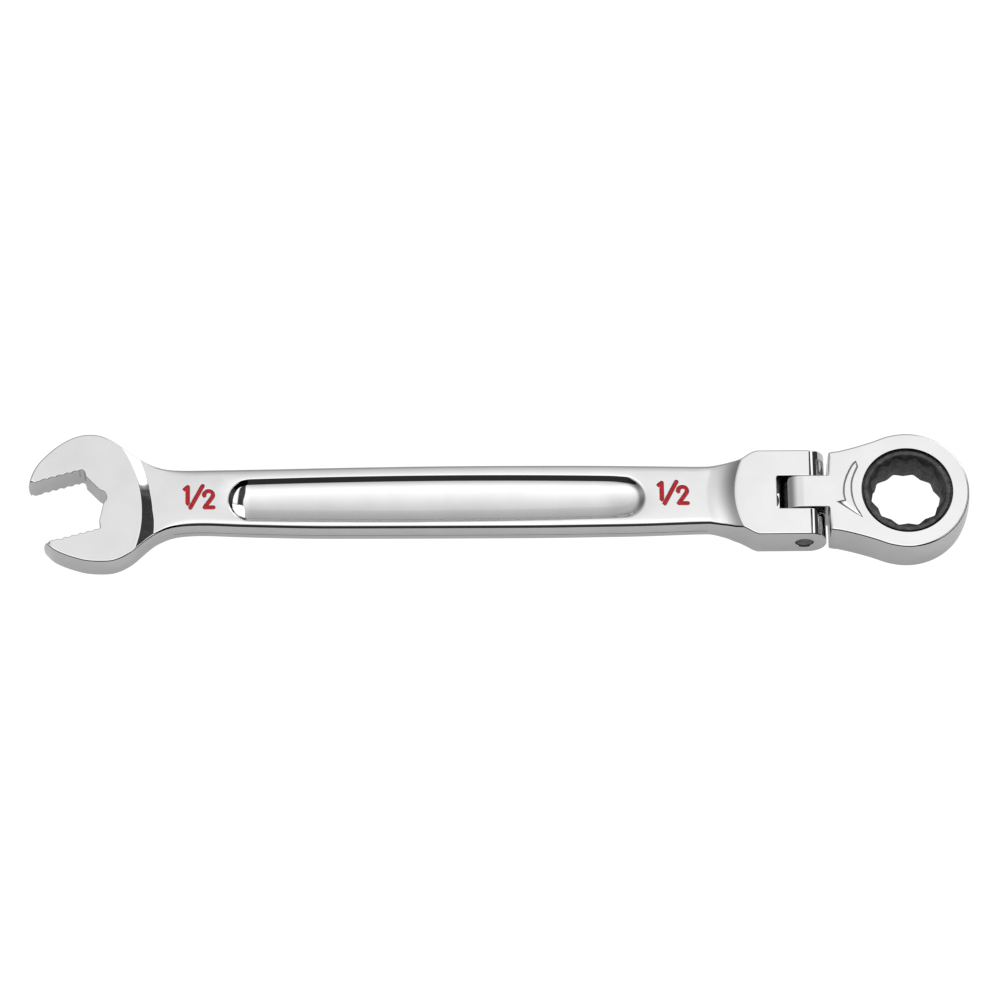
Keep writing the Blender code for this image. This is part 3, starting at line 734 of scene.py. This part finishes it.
def head_side():
    """The side of the head from the lower shoulder round the ring to the upper one, at the mid-plane."""
    leaving = [arc((RING_X, 0), RING_RADIUS, angle, angle + 0.1)[0] for angle in (100, 104)]
    upper = curve_through([*leaving, *FLARE], 0.7)
    corner = curve_through([upper[-1], (64.38, 8.28), (SHOULDER_X, SHOULDER_Y)], 0.15)
    upper = np.vstack([upper[:-1], corner])
    ring = arc((RING_X, 0), RING_RADIUS, -99, 99, 2.0)
    lower = (upper * (1, -1))[::-1]
    return np.vstack([lower[:-1], ring, upper[1:]])


def head_bulge(x):
    """How far the head's side wall bulges. The shoulders' corners stay crisp."""
    return np.interp(x, (64.6, 66.0), (0.05, HEAD_BULGE))


HEAD_SIDE = head_side()
TANG = np.vstack([
    [(SHOULDER_X, SHOULDER_Y)],
    arc((SHOULDER_X - TANG_ROOT, TANG_HALF_WIDTH + TANG_ROOT), TANG_ROOT, 0, -90, 22.5),
    [(PIN_X - TANG_RADIUS, TANG_HALF_WIDTH), (PIN_X - TANG_RADIUS, -TANG_HALF_WIDTH)],
    arc((SHOULDER_X - TANG_ROOT, -TANG_HALF_WIDTH - TANG_ROOT), TANG_ROOT, 90, 0, 22.5),
    [(SHOULDER_X, -SHOULDER_Y)],
])
HEAD_OUTLINE = np.vstack([HEAD_SIDE, TANG[1:-1]])


def arrow_loop():
    """The middle of the engraved line round the curved arrow."""
    outer = curve_through([
        (69.62, 6.2), (69.04, 5.6), (68.5, 4.72), (67.86, 3.39),
        (67.43, 2.18), (67.15, 0.98), (67.08, -0.74), (67.34, -2.12),
    ], 0.5)
    inner = curve_through([
        (69.77, -4.38), (69.2, -3.17), (68.77, -1.62), (68.57, 0.28),
        (68.7, 2.0), (69.11, 3.37), (69.49, 4.23), (69.92, 5.2),
    ], 0.5)
    barb, tip = (65.85, -2.35), (70.5, -5.62)
    return np.vstack([outer, [barb, tip], inner])


ARROW = arrow_loop()
ARROW_AT = (0.0, 0.06, 0.12, 0.15, 0.22)
ARROW_DROP = (0.12, 0.1, 0.02, 0.0, 0.0)
ARROW_REACH = 0.135


def head_height(plan):
    """Half-thickness of the head, both faces alike. The tang's end is round."""
    x = plan[:, 0]
    past = np.clip(PIN_X - x, 0, TANG_RADIUS)
    base = (TANG_RADIUS**TANG_POWER - past**TANG_POWER) ** (1 / TANG_POWER)
    d = distance_to(plan, HEAD_SIDE)
    height = base * side_share(d, head_bulge(x), HEAD_ROUNDING, HEAD_ROUNDING_SHARE)
    return height - edge_break(distance_to(plan, TANG)) * np.clip(height, 0, 1)


def head_face(plan):
    """The head's upper face, with the engraved line."""
    return head_height(plan) - np.interp(distance_to(plan, ARROW, True), ARROW_AT, ARROW_DROP)


def head():
    """The head with the gear's cavity, the pawls' pocket, the springs' bores and the pin's bore."""
    lines = [(HEAD_OUTLINE, True)]
    bulge = head_bulge(HEAD_SIDE[:, 0])
    lines += [(line, False) for line in side_lines(HEAD_SIDE, bulge, HEAD_ROUNDING)]
    lines += [(line, False) for line in cut_lines(TANG)]
    for angle in ROUND_END_ANGLES:
        x = PIN_X - TANG_RADIUS * math.sin(angle)
        lines.append((np.array([(x, -4), (x, 4)]), False))
    lines += scattered((60.3, -11.3), (91.0, 11.5), 0.9)
    for low_y in (-7.9, 6.9):  # finer at the shoulder's corners
        lines += scattered((64.6, low_y), (66.2, low_y + 1.1), 0.25)
    for reach in ARROW_AT:
        lines.append((offset(ARROW, reach, True), True))
        if reach:
            lines.append((offset(ARROW, -reach, True), True))
    piece = slab(
        "ratchet_head", lines, lambda middles: inside(middles, HEAD_OUTLINE),
        head_face, lambda plan: -head_height(plan),
    )
    mouth, room, snap_groove = 8.9, 9.6, 10.05
    cavity = turned("cavity", [
        (0, 5.2), (9.4, 5.2), (9.0, 4.71), (8.98, 4.63), (8.93, 4.56), (mouth, 4.48), (mouth, 3.55),
        (room, 3.55), (room, -3.4), (snap_groove, -3.4), (snap_groove, -4.1), (room, -4.1), (room, -4.48),
        (9.63, -4.56), (9.7, -4.63), (9.8, -4.73), (10.2, -5.2), (0, -5.2),
    ], 192, (RING_X, 0, 0))
    pocket = block("pocket", (RING_X - 13.9, -2.85, -3.25), (RING_X - 4.8, 2.85, 3.25))
    bore_x, bore_length = RING_X - 17.2, 4.3
    spring_bore = [(0, 0), (SPRING_BORE, 0), (SPRING_BORE, bore_length), (0, bore_length)]
    bores = [
        turned(f"bore_{i}", spring_bore, 32, (bore_x, 0, z), "X")
        for i, z in enumerate((PAWL_Z, -PAWL_Z))
    ]
    tang_profile = [(0, -5), (PIN_BORE, -5), (PIN_BORE, 5), (0, 5)]
    tang_bore = turned("tang_bore", tang_profile, 48, (PIN_X, 0, 0), "Y")
    cut(piece, cavity, pocket, *bores, tang_bore)
    return piece


# ---------------------------------------------------------------- gear and pin


def gear():
    """The toothed ring, its two collars and the twelve-point socket, in one skin."""
    tooth_count, root, tooth_depth = 72, 9.0, 0.4
    parts = (0.0, 0.1, 0.26, 0.42, 0.58, 0.68, 0.79, 0.9)
    pitch = 360 / tooth_count
    angles = np.array([(tooth + part) * pitch for tooth in range(tooth_count) for part in parts])
    phase = np.tile(parts, tooth_count)
    teeth = root + tooth_depth * np.interp(phase, (0.1, 0.58, 0.68, 1.0), (0, 1, 1, 0))
    to_flat = 15 + np.minimum(np.mod(angles, 30), 30 - np.mod(angles, 30))
    star = JAW_HALF_WIDTH / np.cos(np.radians(np.clip(to_flat, 15.5, 29.0)))
    for _ in range(3):  # rounds the twelve points
        star = (star + np.roll(star, 1) + np.roll(star, -1)) / 3
    # the lead-in cone falls from the rim to the socket's mouth
    rim, cone_top, mouth, mouth_z = 7.72, 4.32, 6.1, 3.3
    slope = (cone_top - mouth_z) / (rim - mouth)
    cone_foot = mouth_z + slope * (star - mouth)
    face_z, collar, shoulder_z, back_shoulder_z = 4.35, 8.5, 3.45, 3.35
    half = [
        (star, 0.0), (star, cone_foot - 0.12), (star + 0.04, cone_foot - 0.02),
        (star + 0.12, cone_foot + 0.03),
        (star + (rim - star) * 0.5, cone_foot + (cone_top - cone_foot) * 0.5), (rim - 0.03, 4.31),
        (rim + 0.05, 4.34), (rim + 0.1, face_z), (8.36, face_z), (8.44, 4.33), (8.49, 4.28), (collar, 4.2),
    ]
    toothed = [(collar, 0.0), (8.7, 0.0), (teeth - 0.05, 0.0), (teeth, -0.05)]
    half_teeth = [(radius, shoulder_z + height) for radius, height in toothed]
    back_teeth = [(radius, -back_shoulder_z - height) for radius, height in toothed[::-1]]
    back = [(radius, -height) for radius, height in half[:0:-1]]
    profile = half + half_teeth + back_teeth + back
    return turned("ratchet_gear", profile, angles, (RING_X, 0, 0), closed=True)


def pin():
    """The hinge pin. Its ends are slightly domed and lie just below the ears' sides."""
    profile = [(0, -8.95), (1.0, -8.94), (1.5, -8.89), (1.68, -8.8), (1.75, -8.66), (1.75, 0)]
    return turned("hinge_pin", profile + [(r, -y) for r, y in profile[-2::-1]], 48, (PIN_X, 0, 0), "Y")


def coil(node, body):
    """A compression spring with closed ends, where its CAD solid is."""
    low, high = (np.array(corner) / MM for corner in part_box(node))
    turns, steps, sides, wire, end_pitch = 6, 24, 8, 0.14, 0.34
    radius = (high[2] - low[2]) / 2 - wire
    middle_y, middle_z = (low[1:] + high[1:]) / 2
    free = high[0] - low[0] - 2 * wire
    vertices, polygons = [], []
    for i in range(turns * steps + 1):
        turn = i / steps
        along = np.interp(turn, (0, 1, turns - 1, turns), (0, end_pitch, free - end_pitch, free))
        x = low[0] + wire + along
        angle = 2 * math.pi * turn
        for side in range(sides):
            around = 2 * math.pi * side / sides
            reach = radius + wire * math.cos(around)
            y, z = middle_y + reach * math.cos(angle), middle_z + reach * math.sin(angle)
            vertices.append((x + wire * math.sin(around), y, z))
            if i:
                here, beside = i * sides + side, i * sides + (side + 1) % sides
                polygons.append((here - sides, beside - sides, beside, here))
    polygons += [tuple(range(sides)), tuple(range(len(vertices) - sides, len(vertices)))]
    piece = piece_from(f"{node}_coil", vertices, polygons)
    stands_for(piece, body, BRIGHT, "spring_steel", node)
    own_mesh(piece)


# ---------------------------------------------------------------- materials


def material(name, colour, roughness, metallic=1.0):
    made = bpy.data.materials.new(name)
    made.use_nodes = True
    shader = made.node_tree.nodes["Principled BSDF"]
    shader.inputs["Base Color"].default_value = (*colour, 1)
    shader.inputs["Roughness"].default_value = roughness
    shader.inputs["Metallic"].default_value = metallic
    return made, shader


def add_node(tree, kind, **settings):
    node = tree.nodes.new(kind)
    for name, value in settings.items():
        if hasattr(node, name):
            setattr(node, name, value)
        else:
            node.inputs[name.replace("_", " ")].default_value = value
    return node


def noise(tree, scale, detail=3.0, stretch=(1, 1, 1)):
    """Noise in the object's own metres, so that it stays with the piece."""
    place = tree.nodes.new("ShaderNodeTexCoord")
    mapping = tree.nodes.new("ShaderNodeMapping")
    mapping.inputs["Scale"].default_value = stretch
    grain = add_node(tree, "ShaderNodeTexNoise", Scale=scale, Detail=detail)
    tree.links.new(place.outputs["Object"], mapping.inputs["Vector"])
    tree.links.new(mapping.outputs["Vector"], grain.inputs["Vector"])
    return grain.outputs["Fac"]


def spread(tree, source, low, high, from_low=0.35, from_high=0.65):
    """Maps noise to a range of values."""
    node = tree.nodes.new("ShaderNodeMapRange")
    ranges = {"From Min": from_low, "From Max": from_high, "To Min": low, "To Max": high}
    for name, value in ranges.items():
        node.inputs[name].default_value = value
    tree.links.new(source, node.inputs["Value"])
    return node.outputs["Result"]


def blend_colours(tree, factor, first, second):
    node = tree.nodes.new("ShaderNodeMix")
    node.data_type = "RGBA"
    node.inputs["A"].default_value = (*first, 1)
    node.inputs["B"].default_value = (*second, 1)
    tree.links.new(factor, node.inputs["Factor"])
    return node.outputs["Result"]


def bump(tree, shader, height, strength, distance):
    node = tree.nodes.new("ShaderNodeBump")
    node.inputs["Strength"].default_value = strength
    node.inputs["Distance"].default_value = distance
    tree.links.new(height, node.inputs["Height"])
    tree.links.new(node.outputs["Normal"], shader.inputs["Normal"])


def polished_chrome():
    """Plated and polished: a faint cloudiness, and hairlines along the polishing direction."""
    made, shader = material("polished_chrome", (0.61, 0.61, 0.614), 0.06)
    tree = made.node_tree
    cloud = noise(tree, 160, 4)
    hairline = noise(tree, 900, 2, (0.12, 1, 1))
    mixed = add_node(tree, "ShaderNodeMath", operation="MULTIPLY")
    tree.links.new(cloud, mixed.inputs[0])
    tree.links.new(hairline, mixed.inputs[1])
    tree.links.new(spread(tree, mixed.outputs[0], 0.035, 0.085, 0.15, 0.4), shader.inputs["Roughness"])
    tint = blend_colours(tree, spread(tree, cloud, 0, 1), (0.6, 0.6, 0.604), (0.63, 0.63, 0.63))
    tree.links.new(tint, shader.inputs["Base Color"])
    bump(tree, shader, noise(tree, 420, 2), 0.12, 0.000004)
    return made


def etched_chrome():
    """The matt, dull floor of the engraved line."""
    made, shader = material("etched_chrome", (0.32, 0.32, 0.325), 0.5)
    tree = made.node_tree
    grain = noise(tree, 5200, 3)
    tint = blend_colours(tree, spread(tree, grain, 0, 1), (0.27, 0.27, 0.275), (0.37, 0.37, 0.37))
    tree.links.new(tint, shader.inputs["Base Color"])
    tree.links.new(spread(tree, grain, 0.4, 0.6), shader.inputs["Roughness"])
    return made


def dark_steel(name="black_oxide", base=0.045, polish=0.26):
    """Blackened and oiled steel, mottled and finely grained."""
    made, shader = material(name, (base, base, base), 0.34, 0.9)
    tree = made.node_tree
    mottle = noise(tree, 700, 5)
    grain = noise(tree, 4200, 3)
    dull, bright = (base * 0.75, base * 0.75, base * 0.78), (base * 1.5, base * 1.5, base * 1.48)
    colour = blend_colours(tree, spread(tree, mottle, 0, 1), dull, bright)
    tree.links.new(colour, shader.inputs["Base Color"])
    tree.links.new(spread(tree, grain, polish, polish + 0.2), shader.inputs["Roughness"])
    bump(tree, shader, grain, 0.35, 0.00002)
    return made


def drawn_steel():
    """Bright wire and strip with drawing marks."""
    made, shader = material("spring_steel", (0.42, 0.42, 0.43), 0.25)
    tree = made.node_tree
    marks = noise(tree, 2600, 3, (1, 0.2, 1))
    tint = blend_colours(tree, spread(tree, marks, 0, 1), (0.34, 0.34, 0.35), (0.5, 0.5, 0.5))
    tree.links.new(tint, shader.inputs["Base Color"])
    tree.links.new(spread(tree, marks, 0.18, 0.36), shader.inputs["Roughness"])
    bump(tree, shader, marks, 0.3, 0.00001)
    return made


def red_enamel():
    """Red paint, slightly uneven."""
    made, shader = material("red_enamel", (0.6, 0.012, 0.02), 0.4, 0.0)
    shader.inputs["Specular IOR Level"].default_value = 0.22
    tree = made.node_tree
    patches = noise(tree, 1500, 4)
    tint = blend_colours(tree, spread(tree, patches, 0, 1), (0.62, 0.012, 0.02), (0.78, 0.032, 0.042))
    tree.links.new(tint, shader.inputs["Base Color"])
    tree.links.new(spread(tree, patches, 0.35, 0.5), shader.inputs["Roughness"])
    bump(tree, shader, patches, 0.3, 0.00003)
    return made


CHROME = polished_chrome()
DARK = dark_steel()
GEAR_STEEL = dark_steel("gear_steel", 0.085, 0.42)
PIN_STEEL = dark_steel("pin_steel", 0.11)
# the slot's darker steel: partly unplated steel, partly painted shade inside the slot
SLOT_STEEL_AND_SHADE = dark_steel("slot_steel_and_painted_shade", 0.06)
ETCHED = etched_chrome()
BRIGHT = drawn_steel()
RED = red_enamel()


def stands_for(piece, body, finish, slot, *nodes):
    """Gives a piece its material and its body, and hides the CAD nodes that it replaces. The slot argument
    is not used.
    """
    piece.data.materials.clear()
    piece.data.materials.append(finish)
    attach(piece, body)
    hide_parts(*nodes)


def darken_slot(piece):
    """Gives the walls of the clevis slot a darker steel: partly the slot's unplated steel, partly painted
    shade inside the slot.
    """
    floor_margin, wall_margin, upright = 0.05, 0.01, 0.3
    piece.data.materials.append(SLOT_STEEL_AND_SHADE)
    for polygon in piece.data.polygons:
        x, y, _ = polygon.center / MM
        in_slot = x > SLOT_FLOOR_X - floor_margin and abs(y) < SLOT_HALF_WIDTH + wall_margin
        if in_slot and abs(polygon.normal.z) < upright:
            polygon.material_index = 1


def etch_arrow(piece):
    """Gives the faces of the engraved line their own finish."""
    piece.data.materials.append(ETCHED)
    middles = np.array([tuple(polygon.center) for polygon in piece.data.polygons]) / MM
    in_line = distance_to(middles[:, :2], ARROW, True) < ARROW_REACH
    on_marked_face = middles[:, 2] > 4
    for index in np.flatnonzero(in_line & on_marked_face):
        piece.data.polygons[int(index)].material_index = 1


forging = handle()
stands_for(forging, "handle", CHROME, "polished_chrome", "handle_forging")
darken_slot(forging)
ratchet_head = head()
stands_for(ratchet_head, "flex_head", CHROME, "polished_chrome", "head_housing")
etch_arrow(ratchet_head)
stands_for(gear(), "gear", GEAR_STEEL, "dark_steel", "drive_gear")
stands_for(pin(), "handle", PIN_STEEL, "dark_steel", "pivot_pin")
for place, mark_x in MARK_XS.items():
    for sign, sign_strokes in mark_strokes(mark_x).items():
        stands_for(enamel(place, sign, sign_strokes), "handle", RED, "red_enamel", f"{place}_mark_{sign}")

for node in ("upper_pawl", "lower_pawl", "tension_plunger"):
    NODES[node].material_slots[0].material = DARK
coil("tension_spring", "handle")
coil("upper_pawl_spring", "flex_head")
coil("lower_pawl_spring", "flex_head")
NODES["gear_retaining_ring"].material_slots[0].material = BRIGHT


# ---------------------------------------------------------------- studio

FLOOR_Z = cad_box[0][2] - 0.00001


def studio_floor():
    """A pale floor. The camera sees almost a plain glow, and reflections see paper that glows a little."""
    mesh = bpy.data.meshes.new("floor")
    size = 3.0
    corners = ((-size, -size), (size, -size), (size, size), (-size, size))
    mesh.from_pydata([(x, y, FLOOR_Z) for x, y in corners], [], [(0, 1, 2, 3)])
    floor = bpy.data.objects.new("floor", mesh)
    bpy.context.scene.collection.objects.link(floor)
    made, shader = material("paper", (0.9, 0.9, 0.9), 0.8, 0.0)
    tree = made.node_tree
    glow = add_node(tree, "ShaderNodeEmission", Strength=1.08)
    rays = tree.nodes.new("ShaderNodeLightPath")
    share = add_node(tree, "ShaderNodeMath", operation="MULTIPLY_ADD")
    glow_to_all, more_to_camera = 0.35, 0.63
    share.inputs[1].default_value = more_to_camera
    share.inputs[2].default_value = glow_to_all
    mix = tree.nodes.new("ShaderNodeMixShader")
    tree.links.new(rays.outputs["Is Camera Ray"], share.inputs[0])
    tree.links.new(share.outputs[0], mix.inputs["Fac"])
    tree.links.new(shader.outputs[0], mix.inputs[1])
    tree.links.new(glow.outputs[0], mix.inputs[2])
    tree.links.new(mix.outputs[0], tree.nodes["Material Output"].inputs["Surface"])
    mesh.materials.append(made)


def studio_world():
    """A white tent overhead, dark where the camera stands, grey to the left and dark to the right, with two
    bright patches on the right. Their edges are placed by the reflections in the photograph.
    """
    world = bpy.data.worlds.new("studio")
    bpy.context.scene.world = world
    world.use_nodes = True
    tree = world.node_tree
    background = tree.nodes["Background"]
    place = tree.nodes.new("ShaderNodeTexCoord")
    split = tree.nodes.new("ShaderNodeSeparateXYZ")
    tree.links.new(place.outputs["Generated"], split.inputs[0])
    x, y, z = split.outputs

    def math_node(operation, a, b):
        node = tree.nodes.new("ShaderNodeMath")
        node.operation = operation
        for socket, value in zip(node.inputs, (a, b)):
            if isinstance(value, (int, float)):
                socket.default_value = value
            else:
                tree.links.new(value, socket)
        return node.outputs[0]

    def ease(value, low, high, start=0.0, end=1.0):
        node = tree.nodes.new("ShaderNodeMapRange")
        node.interpolation_type = "SMOOTHSTEP"
        for name, number in (("From Min", low), ("From Max", high), ("To Min", start), ("To Max", end)):
            node.inputs[name].default_value = number
        tree.links.new(value, node.inputs["Value"])
        return node.outputs["Result"]

    def times(*values):
        total = values[0]
        for value in values[1:]:
            total = math_node("MULTIPLY", total, value)
        return total

    def patch(x_range, y_range, soft):
        """1 where the direction's x and y lie in the ranges, with soft edges."""
        sides = []
        for value, (low, high) in ((x, x_range), (y, y_range)):
            sides.append(ease(value, low - soft, low + soft))
            sides.append(ease(value, high - soft, high + soft, 1, 0))
        return times(*sides)

    above = ease(z, -0.05, 0.05)
    # overhead: brightest at the zenith, greyer towards the far side
    far_fall = ease(y, 0.12, 0.62, 1.95, 0.85)
    far_grey = ease(y, 0.5, 0.95, 1.0, 0.68)
    far_edge = ease(y, 0.9, 0.98, 1.0, 0.55)
    near_dark = times(ease(y, -0.38, -0.27, 0.05, 1.0), ease(y, -0.3, 0.15, 0.42, 1.0))
    left_grey = times(ease(x, -0.74, -0.2, 0.3, 1.09), ease(x, -0.05, 0.1, 0.85, 1.03))
    right_dark = ease(x, 0.12, 0.17, 1.0, 0.04)
    tent = times(far_fall, far_grey, far_edge, near_dark, left_grey, right_dark)
    key = times(patch((0.14, 0.72), (0.478, 0.9), 0.004), 2.0)
    strip = times(patch((0.38, 0.6), (-0.3, 0.46), 0.03), 1.7)
    total = times(math_node("MAXIMUM", math_node("MAXIMUM", tent, key), strip), above)
    background.inputs["Color"].default_value = (1, 1, 1, 1)
    tree.links.new(total, background.inputs["Strength"])


def camera():
    """A long lens, high over the near side of the wrench."""
    elevation, azimuth, roll = math.radians(65.815), math.radians(-2.824), math.radians(2.063)
    distance, target = 1.3792, Vector((0, 0.000706, 0))
    out = math.cos(elevation)
    back = Vector((math.sin(azimuth) * out, -math.cos(azimuth) * out, math.sin(elevation)))
    right = Vector((math.cos(azimuth), math.sin(azimuth), 0))
    up = back.cross(right)
    right, up = (
        math.cos(roll) * right + math.sin(roll) * up,
        -math.sin(roll) * right + math.cos(roll) * up,
    )
    data = bpy.data.cameras.new("camera")
    data.sensor_width = 36
    data.lens = 253.68
    data.clip_end = 20
    made = bpy.data.objects.new("camera", data)
    turn = Matrix((right, up, back)).transposed().to_4x4()
    made.matrix_world = Matrix.Translation(target + distance * back) @ turn
    bpy.context.scene.collection.objects.link(made)
    bpy.context.scene.camera = made


studio_floor()
studio_world()
camera()
bpy.context.scene.view_settings.view_transform = "Standard"
